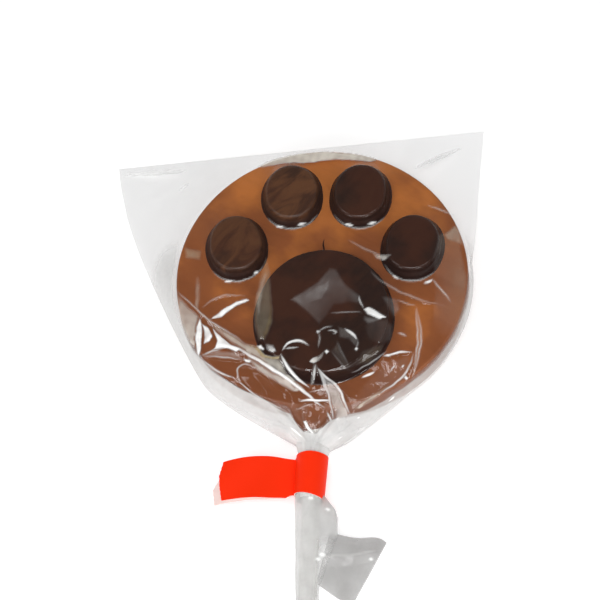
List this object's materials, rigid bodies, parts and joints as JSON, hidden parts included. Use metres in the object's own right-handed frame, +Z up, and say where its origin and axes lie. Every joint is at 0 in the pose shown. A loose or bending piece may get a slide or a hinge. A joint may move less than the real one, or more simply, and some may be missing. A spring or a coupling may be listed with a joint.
{
  "type": "paw print chocolate lollipop",
  "caption": "Round milk chocolate lollipop with raised dark chocolate paw pads on a paper stick, in a clear film bag gathered at the neck and closed with red tape.",
  "frame": {"origin": "on the surface it lies on, under the middle of the whole outline seen from above", "axes": "+Z up out of the shown face, -Y along the stick, +Y towards the toes of the paw and the bag's sealed end, +X to the right"},
  "size_m": [0.1024, 0.1588, 0.014],
  "materials": {
    "milk_chocolate": "milk chocolate, smooth from the mould, satin",
    "dark_chocolate": "dark chocolate, smooth from the mould, glossy",
    "white_paper": "white rolled paper, matt",
    "clear_film": "clear glossy cellophane film",
    "red_tape": "bright orange-red vinyl bag tape, satin"
  },
  "bodies": {
    "root": {"milk_disc": "milk_chocolate", "toe_outer_left": "dark_chocolate", "toe_inner_left": "dark_chocolate", "toe_inner_right": "dark_chocolate", "toe_outer_right": "dark_chocolate", "main_pad": "dark_chocolate", "stick": "white_paper", "bag": "clear_film", "tape": "red_tape"}
  },
  "joints": []
}
